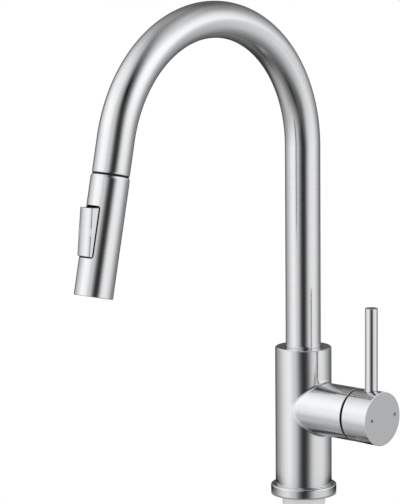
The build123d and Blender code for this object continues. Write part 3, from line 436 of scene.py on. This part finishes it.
def make_world():
    """White for the camera. Metal shows a pale studio: bright walls in front and at the
    sides, a dark strip beside the camera, and a darker back, ceiling and ground."""
    world = bpy.data.worlds.new("studio")
    scene.world = world
    world.cycles.sampling_method = "NONE"
    shading = Shading(world)
    direction = shading.node("ShaderNodeTexCoord", output="Generated")
    ahead = direction.dot((sin(camera_azimuth), -cos(camera_azimuth), 0))
    aside = direction.dot((cos(camera_azimuth), sin(camera_azimuth), 0))
    around = aside.math("ARCTAN2", ahead) * degrees(1)
    height = direction.dot((0, 0, 1)).math("ARCSINE") * degrees(1)
    belt = height.rise(*belt_fade_in) * (1 - height.rise(*belt_fade_out))
    shift = strip_round - belt * strip_step

    def ramp(angle, whole, stops):
        """Level by angle, where the stops' angles are within plus or minus half of whole."""
        places = [(angle_at / whole + 0.5, level) for angle_at, level in stops]
        settings = {"between_stops": "CARDINAL", "stops": places}
        return shading.node("ShaderNodeValToRGB", settings, {0: angle * (1 / whole) + 0.5})

    left = ramp(around - shift, 360, left_round) * ramp(height, 180, left_up) * left_light
    right = ramp(around - shift, 360, right_round) * ramp(height, 180, right_up) * right_light
    level = left + right + dark_level
    for round_at, up_at, width, light in round_lights:
        turn = camera_azimuth + radians(round_at)
        centre = (
            cos(radians(up_at)) * sin(turn),
            -cos(radians(up_at)) * cos(turn),
            sin(radians(up_at)),
        )
        level = level + direction.dot(centre).rise(cos(radians(width)), 1) * light
    camera_ray = shading.node("ShaderNodeLightPath", output="Is Camera Ray")
    rays = camera_ray.socket.node.outputs
    mirrored = Value(shading, rays["Is Glossy Ray"]) + Value(shading, rays["Is Transmission Ray"])
    mirrored = mirrored.math("MINIMUM", 1.0)
    strength = camera_ray + (1 - camera_ray) * (
        mirrored * level + (1 - mirrored) * plain_level
    )
    background = shading.node("ShaderNodeBackground", None, {0: grey(1), 1: strength})
    shading.node("ShaderNodeOutputWorld", None, {0: background})


def level_sheet(name, half_size, height, look):
    """Square sheet about the origin at a height, facing up."""
    corners = [(-1, -1), (1, -1), (1, 1), (-1, 1)]
    places = [(x * half_size, y * half_size, height) for x, y in corners]
    mesh = bpy.data.meshes.new(name)
    mesh.from_pydata(places, [], [(0, 1, 2, 3)])
    mesh.materials.append(look)
    sheet = bpy.data.objects.new(name, mesh)
    scene.collection.objects.link(sheet)
    return sheet


def pale_floor(shading):
    """Pale, and white where nothing shades it."""
    plain = shading.node("ShaderNodeBsdfDiffuse", None, {"Color": grey(floor_shade)})
    glow = shading.node("ShaderNodeEmission", None, {"Color": grey(1), "Strength": floor_glow})
    shading.upper_side(shading.node("ShaderNodeAddShader", None, {0: plain, 1: glow}))


def make_floor():
    """Floor far enough below for the pulled-out head."""
    look = material("pale_floor", pale_floor)
    floor = level_sheet("floor", floor_half_size, floor_height, look)
    floor.visible_glossy = False


def dim_ground(shading):
    """Holds back light near the middle, most of it behind, and glows plainly in the disc
    that hides the shank."""
    place = shading.position()
    radius = place.vector("LENGTH", output="Value")
    ahead = place.dot((sin(camera_azimuth), -cos(camera_azimuth), 0))
    ahead = ahead.math("DIVIDE", radius).rise(*ground_turn_fade)
    let_through = ground_behind + (ground_ahead - ground_behind) * ahead
    held_back = (1 - let_through) * (1 - radius.rise(*ground_edge_fade))
    clear = shading.node("ShaderNodeBsdfTransparent")
    black = shading.node("ShaderNodeEmission", None, {"Color": grey(0), "Strength": 0.0})
    dimmed = shading.node("ShaderNodeMixShader", None, {0: held_back, 1: clear, 2: black})
    plain = shading.node("ShaderNodeEmission", None, {"Color": grey(disc_glow), "Strength": 1.0})
    outer = radius.rise(*disc_fade)
    shading.upper_side(shading.node("ShaderNodeMixShader", None, {0: outer, 1: plain, 2: dimmed}))


def make_ground():
    """Sheet in the deck's plane that only reflections show, and only its top. Steel near
    the deck mirrors less light from below, least of all from behind, and little of the
    shank, which a deck would hide."""
    look = material("dim_ground", dim_ground)
    ground = level_sheet("ground", ground_half_size, ground_height, look)
    ground.visible_camera = False
    ground.visible_diffuse = False
    ground.visible_transmission = False
    ground.visible_shadow = False


def make_sun():
    """One soft lamp high at the left, for the floor's shadow."""
    data = bpy.data.lights.new("soft_lamp", "SUN")
    data.energy = sun_level
    data.angle = sun_softness
    lamp = bpy.data.objects.new("soft_lamp", data)
    lamp.rotation_euler = sun_lean
    lamp.visible_glossy = False
    scene.collection.objects.link(lamp)


def material(name, make, *details):
    """A material whose nodes the function make adds."""
    made = bpy.data.materials.new(name)
    make(Shading(made), *details)
    return made


def turned_distance(shading, centre, axis):
    """Distance along an axis plus distance from it: lines of one value run round a turned
    piece on its side and on its ends."""
    place = shading.position().vector("SUBTRACT", tuple(centre))
    along = place.dot(tuple(axis))
    beside = place.vector("SUBTRACT", shading.combine(*axis).scaled(along))
    return along + beside.vector("LENGTH", output="Value")


def brushed(shading, distance, axis, painted_shade=0.0, base=steel_shade, rough=steel_rough, flat=None):
    """Brushed steel. Fine scratches follow the lines of one distance. Noise that is much
    finer across them than along them tips the surface along the axis, which spreads
    reflections that way, and varies the roughness and the colour a little. Where the
    fourth argument is 1, as inside a gap, the colour is darkened as painted shade and the
    steel is duller. flat is the normal without the scratches, if not the surface's own."""
    drift = shading.position()
    ridge = shading.combine(*axis) if isinstance(axis, (tuple, Vector)) else axis

    def scratches(across_scale, along_scale, detail):
        """Noise about 0 that is drawn out along the lines of one distance."""
        place = drift.scaled(along_scale).vector("ADD", ridge.scaled(distance * across_scale))
        return shading.noise(place, 1, detail) - 0.5

    fine = scratches(14000, 38, 2)
    coarse = scratches(1300, 14, 3)
    broad = scratches(160, 9, 2)
    settings = {"vector_type": "VECTOR", "convert_from": "OBJECT", "convert_to": "WORLD"}
    across = shading.node("ShaderNodeVectorTransform", settings, {0: ridge})
    tip = fine * scratch_tilt + coarse * (scratch_tilt * 0.06)
    if flat is None:
        flat = shading.own_normal()
    normal = flat.vector("ADD", across.scaled(tip)).vector("NORMALIZE")
    shade = base + fine * 0.07 + coarse * 0.016 + broad * 0.016
    # Painted shade: the colour darkens where the gap mask is 1
    shade = shade * (1 - painted_shade * 0.93)
    colour = shading.combine(shade * 0.99, shade, shade * 1.018)
    shading.surface(
        Base_Color=colour,
        Metallic=1.0,
        Roughness=rough + painted_shade * 0.35 + coarse * 0.05 + broad * 0.03,
        Normal=normal,
    )


def brushed_turned(shading, centre, axis):
    """Brushed steel whose scratches run round an axis."""
    brushed(shading, turned_distance(shading, centre, axis), Vector(axis))


def brushed_body(shading):
    """The body's scratches run round it and the housing's round the housing. Beside the
    housing, where the two surfaces meet at a small angle, the corner is polished soft: the
    normal passes from the body's to the housing's."""
    upright = turned_distance(shading, (0, 0, 0), (0, 0, 1))
    lying = turned_distance(shading, (0, 0, lever_height), (1, 0, 0))
    x, y, z = shading.parts(shading.position())
    over = z - lever_height
    from_body = (x * x + y * y).math("SQRT") - body_radius
    from_housing = (y * y + over * over).math("SQRT") - housing_radius
    past = from_body - from_housing
    lever_side = x.rise(*lever_side_fade)
    share = past.rise(-seam_softness, seam_softness) * lever_side
    distance = lying * share + upright * (1 - share)
    axis = shading.combine(share, 0.0, 1 - share)

    round_body = shading.combine(x, y, 0.0).vector("NORMALIZE")
    round_housing = shading.combine(0.0, y, over).vector("NORMALIZE")
    soft = round_body.scaled(1 - share).vector("ADD", round_housing.scaled(share))
    near = 1 - past.math("ABSOLUTE").rise(seam_softness * 0.8, seam_softness * 1.2)
    near = near * y.math("ABSOLUTE").rise(*seam_side_fade)
    near = near * lever_side * from_body.rise(*body_outside_fade)
    own = shading.own_normal()
    flat = own.scaled(1 - near).vector("ADD", soft.vector("NORMALIZE").scaled(near))

    # The housing's end face, in the gap before the hub, gets painted shade
    brushed(shading, distance, axis, x.rise(*housing_end_fade), flat=flat)


def brushed_hub(shading):
    """The hub's scratches run round it and on its cap, which is duller and painted darker.
    Its back, in the gap, and its inside are darkened: painted shade."""
    x, y, z = shading.parts(shading.position())
    across = (y * y + (z - lever_height).math("POWER", 2.0)).math("SQRT")
    cap = x.rise(*hub_cap_fade)
    back = 1 - x.rise(*hub_back_fade)
    inside = (1 - across.rise(*hub_inside_fade)) * (1 - cap)
    painted_shade = back.math("MAXIMUM", inside)
    distance = turned_distance(shading, (0, 0, lever_height), (1, 0, 0))
    # Painted shade: the cap's colour is darker than the hub's
    base = hub_shade + cap * (cap_painted_shade - hub_shade)
    rough = steel_rough + cap * (cap_rough - steel_rough)
    brushed(shading, distance, Vector((1, 0, 0)), painted_shade, base, rough)


def head_place(shading):
    """A point's distance down from the head's joint, across from the head's axis, and to
    the side of the button's middle line."""
    place = shading.position().vector("SUBTRACT", tuple(head_joint))
    down = place.dot(tuple(head_down))
    beside = place.vector("SUBTRACT", shading.combine(*head_down).scaled(down))
    side = place.dot((1, 0, 0)).math("ABSOLUTE")
    return down, beside.vector("LENGTH", output="Value"), side


def brushed_shell(shading):
    """The head's shell. The walls of its cut-out, a rectangle with round corners, and its
    inside are darkened: painted shade."""
    down, across, side = head_place(shading)
    corner_side = (side - (cutout_half_width - cutout_corner)).math("MAXIMUM", 0.0)
    corner_down = (down - cutout_middle).math("ABSOLUTE")
    corner_down = (corner_down - (cutout_half_length - cutout_corner)).math("MAXIMUM", 0.0)
    corner = (corner_side * corner_side + corner_down * corner_down).math("SQRT")
    place = shading.position().vector("SUBTRACT", tuple(head_joint))
    front = place.dot(tuple(head_front)).rise(*shell_front_fade)
    cut = (1 - corner.rise(*cutout_fade)) * front
    inside = 1 - across.rise(*shell_inside_fade)
    painted_shade = cut.math("MAXIMUM", inside * (1 - down.rise(*shell_mouth_fade)))
    brushed(shading, down + across, head_down, painted_shade)


def brushed_button(shading):
    """The button, whose sides are darkened where they lie in the shell: painted shade. Its
    flanks are painted lighter than its front: a painted highlight. Its front is a little
    more rounded towards its long edges, and most at the edges themselves."""
    down, across, side = head_place(shading)
    # Painted shade on the button's sides where they lie in the shell
    painted_shade = 1 - across.rise(*button_outside_fade)
    crown = side.rise(*button_crown_fade) * button_crown_lean
    lean = crown + side.rise(*button_edge_fade) * button_edge_lean
    outwards = shading.position().dot((1, 0, 0)).math("SIGN")
    own = shading.own_normal()
    flat = own.vector("ADD", shading.combine(outwards * lean, 0.0, 0.0)).vector("NORMALIZE")
    flank = own.dot((1, 0, 0)).math("ABSOLUTE").rise(*flank_fade)
    # Painted highlight: the flanks' colour is lighter
    base = steel_shade + flank * (flank_painted_light - steel_shade)
    brushed(shading, down + across, head_down, painted_shade, base, flat=flat)


def brushed_spout(shading):
    """The spout's scratches run round the tube, all along its bend."""
    run = shading.parts(shading.node("ShaderNodeUVMap", {"uv_map": "run"}))[0]
    settings = {"attribute_name": "along"}
    along = shading.node("ShaderNodeAttribute", settings, output="Vector")
    brushed(shading, run, along)


def turned_metal(shading, centre, axis, colour, rough):
    """Turned metal: fine concentric tool marks and a little dulling in patches."""
    distance = turned_distance(shading, centre, axis)
    marks = shading.noise(shading.combine(distance * 4200, 0.0, 0.0), 1, 2)
    patches = shading.noise(shading.position(), 90, 3)
    darker = tuple(0.86 * part for part in colour)
    shade = shading.colours(marks * 0.6 + patches * 0.4, (*darker, 1), (*colour, 1))
    bump = shading.node(
        "ShaderNodeBump", None, {"Strength": 0.35, "Distance": 0.00006, "Height": marks}
    )
    shading.surface(
        Base_Color=shade,
        Metallic=1.0,
        Roughness=rough + (patches - 0.5) * 0.16 + (marks - 0.5) * 0.10,
        Normal=bump,
    )


def moulded(shading, colour, rough, grain, depth, speckle, gloss=0.5):
    """Moulded plastic or rubber: a fine spark-eroded grain, a little mottling, and gloss
    that varies with both."""
    place = shading.position()
    pits = shading.noise(place, grain, 3, 0.6)
    clouds = shading.noise(place, 60, 3)
    lighter = tuple(min(1.0, part * (1 + speckle) + 0.01 * speckle) for part in colour)
    darker = tuple(part * (1 - speckle) for part in colour)
    shade = shading.colours(pits * 0.5 + clouds * 0.5, (*darker, 1), (*lighter, 1))
    bump = shading.node(
        "ShaderNodeBump", None, {"Strength": 0.5, "Distance": depth, "Height": pits}
    )
    shading.surface(
        Base_Color=shade,
        Roughness=rough + (clouds - 0.5) * 0.14 + (pits - 0.5) * 0.10,
        Specular_IOR_Level=gloss,
        Normal=bump,
    )


def braid(shading, run, turn):
    """Woven sleeve: two sets of strands wind round the hose in opposite senses and pass
    over and under each other. run is the distance along the hose, turn counts turns round
    it. A strand's height is a raised cosine across it."""
    right = turn * strands + run * (strands / strand_lay)
    left = turn * strands - run * (strands / strand_lay)
    weave = ((right + left) * pi).math("SINE") * ((right - left) * pi).math("SINE")
    over = (weave * 4).rise(-1, 1)
    right_crown = (right * (2 * pi)).math("COSINE") * 0.5 + 0.5
    left_crown = (left * (2 * pi)).math("COSINE") * 0.5 + 0.5
    right_top = right_crown * (0.35 + 0.65 * over)
    left_top = left_crown * (0.35 + 0.65 * (1 - over))
    height = right_top.math("MAXIMUM", left_top)
    threads = (right * over + left * (1 - over)) * (2 * pi * threads_per_strand)
    threads = threads.math("SINE")
    fuzz = shading.noise(shading.position(), 2500, 2)
    # Colour follows height: darkest between strands, where the hose under them shows, and painted
    # shade down each strand's sides and where one strand passes under the other
    light = height * 0.75 + threads * 0.08 + fuzz * 0.17
    shade = shading.colours(light, (0.045, 0.046, 0.05, 1), (0.50, 0.505, 0.52, 1))
    bump = shading.node(
        "ShaderNodeBump",
        None,
        {"Strength": 0.9, "Distance": 0.0006, "Height": height + threads * 0.06},
    )
    shading.surface(
        Base_Color=shade,
        Roughness=0.58 - height * 0.14 + (fuzz - 0.5) * 0.2,
        Normal=bump,
    )


def braid_by_run(shading):
    """The sleeve by the piece's own map of the run and the turn."""
    run, turn = shading.parts(shading.node("ShaderNodeUVMap", {"uv_map": "run"}))[:2]
    braid(shading, run, turn)


def braid_by_place(shading):
    """The same sleeve by place, so that it doesn't stretch while the head is pulled out."""
    place = shading.position().vector("SUBTRACT", tuple(arc_end))
    run = place.dot(tuple(head_down))
    front = place.dot(tuple(head_front))
    side = place.dot((1, 0, 0))
    braid(shading, run, side.math("ARCTAN2", front) * (1 / (2 * pi)))


def grid_piece(name, points, made_of, runs=None, along=None):
    """Closed mesh over a grid of points[row, column] that joins up both ways. runs gives
    each row's distance for the map, and along each point's direction of the run."""
    rows, columns = points.shape[:2]
    row, column = np.meshgrid(np.arange(rows), np.arange(columns), indexing="ij")
    next_row = (row + 1) % rows
    next_column = (column + 1) % columns
    corners = [
        row * columns + column,
        row * columns + next_column,
        next_row * columns + next_column,
        next_row * columns + column,
    ]
    loops = np.stack(corners, axis=-1).reshape(-1)
    mesh = bpy.data.meshes.new(name)
    mesh.vertices.add(rows * columns)
    mesh.vertices.foreach_set("co", points.astype(np.float32).ravel())
    mesh.loops.add(len(loops))
    mesh.loops.foreach_set("vertex_index", loops.astype(np.int32))
    mesh.polygons.add(rows * columns)
    mesh.polygons.foreach_set("loop_start", np.arange(0, len(loops), 4, dtype=np.int32))
    mesh.polygons.foreach_set("use_smooth", np.ones(rows * columns, dtype=bool))
    mesh.update(calc_edges=True)
    if runs is not None:
        run = np.stack([runs[row], runs[row], runs[next_row], runs[next_row]], axis=-1)
        turn = np.stack([column, column + 1, column + 1, column], axis=-1) / columns
        layer = mesh.uv_layers.new(name="run")
        layer.data.foreach_set("uv", np.stack([run, turn], axis=-1).astype(np.float32).ravel())
    if along is not None:
        attribute = mesh.attributes.new("along", "FLOAT_VECTOR", "POINT")
        attribute.data.foreach_set("vector", along.astype(np.float32).ravel())
    mesh.set_sharp_from_angle(angle=sharp_angle)
    mesh.materials.append(made_of)
    piece = bpy.data.objects.new(name, mesh)
    scene.collection.objects.link(piece)
    return piece


def tube_points(centres, first, second, radii, columns):
    """Round section of each row's radius about its centre: centre plus radius times
    (cosine of the turn along first, sine of the turn along second)."""
    turn = np.linspace(0, 2 * pi, columns, endpoint=False)
    ring = (
        np.cos(turn)[None, :, None] * first[:, None, :]
        + np.sin(turn)[None, :, None] * second[:, None, :]
    )
    return centres[:, None, :] + radii[:, None, None] * ring


def spout_line(run):
    """Middle line of the spout at distances run from its foot: up the leg, round the arc
    about a level axis, then straight on. Returns centres, two cross directions and the
    direction of the run."""
    leg = leg_top - spout_foot
    turn = np.clip((run - leg) / arc_radius, 0, arc_sweep)
    up = np.minimum(run, leg)
    on = np.maximum(run - leg - arc_radius * arc_sweep, 0)
    y = -arc_radius * (1 - np.cos(turn)) - on * np.sin(turn)
    z = spout_foot + up + arc_radius * np.sin(turn) + on * np.cos(turn)
    nothing = np.zeros_like(run)
    centres = np.stack([nothing, y, z], axis=-1)
    first = np.stack([nothing + 1, nothing, nothing], axis=-1)
    second = np.stack([nothing, np.cos(turn), np.sin(turn)], axis=-1)
    direction = np.stack([nothing, -np.sin(turn), np.cos(turn)], axis=-1)
    return centres, first, second, direction


def stations(start, end, step):
    """Even distances from start to end, about a step apart."""
    return np.linspace(start, end, max(2, int(round((end - start) / step)) + 1))


def shell_profile(start, end, outer, inner, edge, step):
    """Runs and radii round the wall of a tube: along its outside with rounded ends, then
    back along its bore."""
    turn = np.linspace(0, pi / 2, 4)
    outside = stations(start + edge, end - edge, step)
    lip = end - edge + edge * np.sin(turn)[1:]
    inside = stations(start, end, step)[::-1]
    run = np.concatenate([start + edge * (1 - np.cos(turn))[:-1], outside, lip, inside])
    radius = np.concatenate([
        outer - edge + edge * np.sin(turn)[:-1],
        np.full(len(outside), outer),
        outer - edge + edge * np.cos(turn)[1:],
        np.full(len(inside), inner),
    ])
    return run, radius


def make_spout():
    """Bent tube with a wall, from its foot in the body to the joint with the head."""
    end = leg_top - spout_foot + arc_radius * arc_sweep + spout_tail
    bore = spout_radius - spout_wall
    run, radii = shell_profile(0, end, spout_radius, bore, spout_edge, tube_step)
    centres, first, second, direction = spout_line(run)
    points = tube_points(centres, first, second, radii, spout_columns)
    along = np.repeat(direction[:, None, :], spout_columns, axis=1)
    spout = grid_piece("spout", points, material("brushed_spout", brushed_spout), run, along)
    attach(spout, "spout")
    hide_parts("spout_tube")


def make_lower_hose(sleeve):
    """Hose beside the valve and up to the spout. Its middle line goes straight up, beside
    the body's axis by the offset, and then comes onto the axis by two equal arcs that bend
    opposite ways."""
    bend_turn = acos(1 - hose_offset / (2 * hose_bend))
    bend = hose_bend * bend_turn
    bend_rise = hose_bend * sin(bend_turn)
    top = hose_split - hose_gap
    straight = top - 2 * bend_rise - hose_bottom
    run, radii = shell_profile(
        0, straight + 2 * bend, hose_radius, hose_bore, hose_edge, bend_step
    )
    turned = np.clip((run - straight) / hose_bend, 0, bend_turn)
    to_go = bend_turn - np.clip((run - straight - bend) / hose_bend, 0, bend_turn)
    lean = turned + to_go - bend_turn
    past = run > straight + bend
    x = np.where(
        past,
        -hose_bend * (1 - np.cos(to_go)),
        hose_bend * (1 - np.cos(turned)) - hose_offset,
    )
    z = np.where(
        past,
        top - hose_bend * np.sin(to_go),
        hose_bottom + np.minimum(run, straight) + hose_bend * np.sin(turned),
    )
    nothing = np.zeros_like(run)
    centres = np.stack([x, nothing, z], axis=-1)
    first = np.stack([np.cos(lean), nothing, -np.sin(lean)], axis=-1)
    second = np.stack([nothing, nothing + 1, nothing], axis=-1)
    points = tube_points(centres, first, second, radii, hose_columns)
    lower = grid_piece("hose_under", points, sleeve, run)
    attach(lower, "faucet")
    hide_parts("hose_lower")


def make_upper_hose(sleeve, end):
    """Hose on the spout's middle line, from the body's top to the distance end."""
    run, radii = shell_profile(
        hose_split - spout_foot, end, hose_radius, hose_bore, hose_edge, tube_step
    )
    points = tube_points(*spout_line(run)[:3], radii, hose_columns)
    upper = grid_piece("hose_in_spout", points, sleeve, run)
    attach(upper, "spout")
    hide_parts("hose_upper")


def make_reach(start):
    """Hose on the spout's middle line behind the head, from the distance start. It has
    many rows."""
    end = start + reach_length - hose_gap
    run, radii = shell_profile(
        start, end, hose_radius, hose_bore, reach_edge, reach_length / reach_rows
    )
    points = tube_points(*spout_line(run)[:3], radii, reach_columns)
    sleeve = material("braided_sleeve_by_place", braid_by_place)
    reach = grid_piece("hose_behind_head", points, sleeve)
    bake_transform(reach)
    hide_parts("hose_reach")


def make_hoses():
    """The pull-out hose in three lengths."""
    sleeve = material("braided_sleeve", braid_by_run)
    reach_start = leg_top - spout_foot + arc_radius * arc_sweep - reach_length
    make_lower_hose(sleeve)
    make_upper_hose(sleeve, reach_start)
    make_reach(reach_start)


def make_shank():
    """Hollow shank with a flange and a helical thread. The outside radius falls by the
    thread's depth in a V groove, at the place within the pitch that height less pitch
    times turn gives, and the groove fades out at both ends of the thread."""
    threaded = stations(shank_bottom, shank_neck, thread_pitch / rows_per_thread)
    heights = np.concatenate([
        threaded,
        [shank_neck + thread_pitch / 2, shank_flange_start - step_height],
        [shank_flange_start, shank_flange_end],
        [shank_flange_end, shank_bottom],
    ])
    radii = np.concatenate([
        np.full(len(threaded) + 2, shank_radius),
        np.full(2, shank_flange_radius),
        np.full(2, shank_bore),
    ])
    turn = np.linspace(0, 1, shank_columns, endpoint=False)
    phase = (heights[:, None] / thread_pitch - turn[None, :]) % 1.0
    groove = np.clip(1 - np.abs(phase - 0.5) / groove_half_width, 0, 1)
    low = np.clip((heights - shank_bottom) / thread_run_out, 0, 1)
    high = np.clip((shank_neck - heights) / thread_run_out, 0, 1)
    fade = low * high * (np.arange(len(heights)) < len(threaded))
    radius = radii[:, None] - thread_depth * groove * fade[:, None]
    angle = 2 * pi * turn
    points = np.stack([
        radius * np.cos(angle)[None, :],
        radius * np.sin(angle)[None, :],
        np.broadcast_to(heights[:, None], radius.shape),
    ], axis=-1)
    axis = ((0, 0, 0), (0, 0, 1))
    brass = material("shank_brass", turned_metal, *axis, brass_colour, thread_rough)
    shank = grid_piece("threaded_shank", points, brass)
    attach(shank, "faucet")
    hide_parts("mounting_shank")


def dress_solids():
    """Materials for the solids that show as they are."""
    upright = ((0, 0, 0), (0, 0, 1))
    lever = ((0, 0, lever_height), (1, 0, 0))
    head = (tuple(head_joint), tuple(head_down))
    steel = {
        "faucet_body": material("brushed_body", brushed_body),
        "base_ring": material("brushed_ring", brushed_turned, *upright),
        "handle_hub": material("brushed_hub", brushed_hub),
        "handle_rod": material("brushed_rod", brushed_turned, (rod_place, 0, 0), (0, 0, 1)),
        "head_shell": material("brushed_head", brushed_shell),
        "rocker_button": material("brushed_button", brushed_button),
    }
    # Colour, roughness, grains per metre, depth of the grain, mottling and gloss
    by_slot = {
        "dark_plastic": ((0.035, 0.035, 0.038), 0.42, 1800, 0.00004, 0.25),
        "grey_plastic": ((0.40, 0.41, 0.42), 0.40, 1800, 0.00003, 0.08),
        "white_plastic": ((0.86, 0.86, 0.84), 0.38, 1500, 0.00003, 0.03),
        "black_rubber": ((0.03, 0.03, 0.032), 0.68, 2600, 0.00005, 0.30),
        "grey_rubber": ((0.27, 0.275, 0.285), 0.60, 2600, 0.00005, 0.12),
        "ceramic": ((0.84, 0.82, 0.78), 0.16, 3000, 0.00001, 0.02),
        "dot_insert": ((0.11, 0.112, 0.118), 0.22, 3000, 0.00001, 0.05),
    }
    # The dock collar and the trim dome are black plastic made darker and less glossy still:
    # painted shade for the gaps that they sit in
    shadow_look = ((0.012, 0.012, 0.013), 0.6, 1800, 0.00004, 0.25, 0.15)
    plain = {
        name: material(name + "_look", moulded, *details) for name, details in by_slot.items()
    }
    shadow = material("black_plastic_painted_gap_shade", moulded, *shadow_look)
    metals = {}
    for name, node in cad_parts.items():
        slot = node.data.materials[0].name
        if name in steel:
            look = steel[name]
        # Painted gap shade on the dock collar and the trim dome
        elif name in ("dock_collar", "trim_dome"):
            look = shadow
        elif slot in plain:
            look = plain[slot]
        else:
            at_lever = name in ("grub_screw", "stem_pin", "lever_stem", "cartridge_nut")
            at_head = name in ("hose_nut", "hose_ferrule", "rocker_pin")
            place = lever if at_lever else head if at_head else upright
            colour = brass_colour if slot == "brass" else dull_colour
            key = (place, slot)
            if key not in metals:
                label = f"{slot}_{len(metals)}"
                metals[key] = material(label, turned_metal, *place, colour, turned_rough)
            look = metals[key]
        node.data.materials[0] = look


make_camera()
make_world()
make_floor()
make_ground()
make_sun()
make_spout()
make_hoses()
make_shank()
dress_solids()
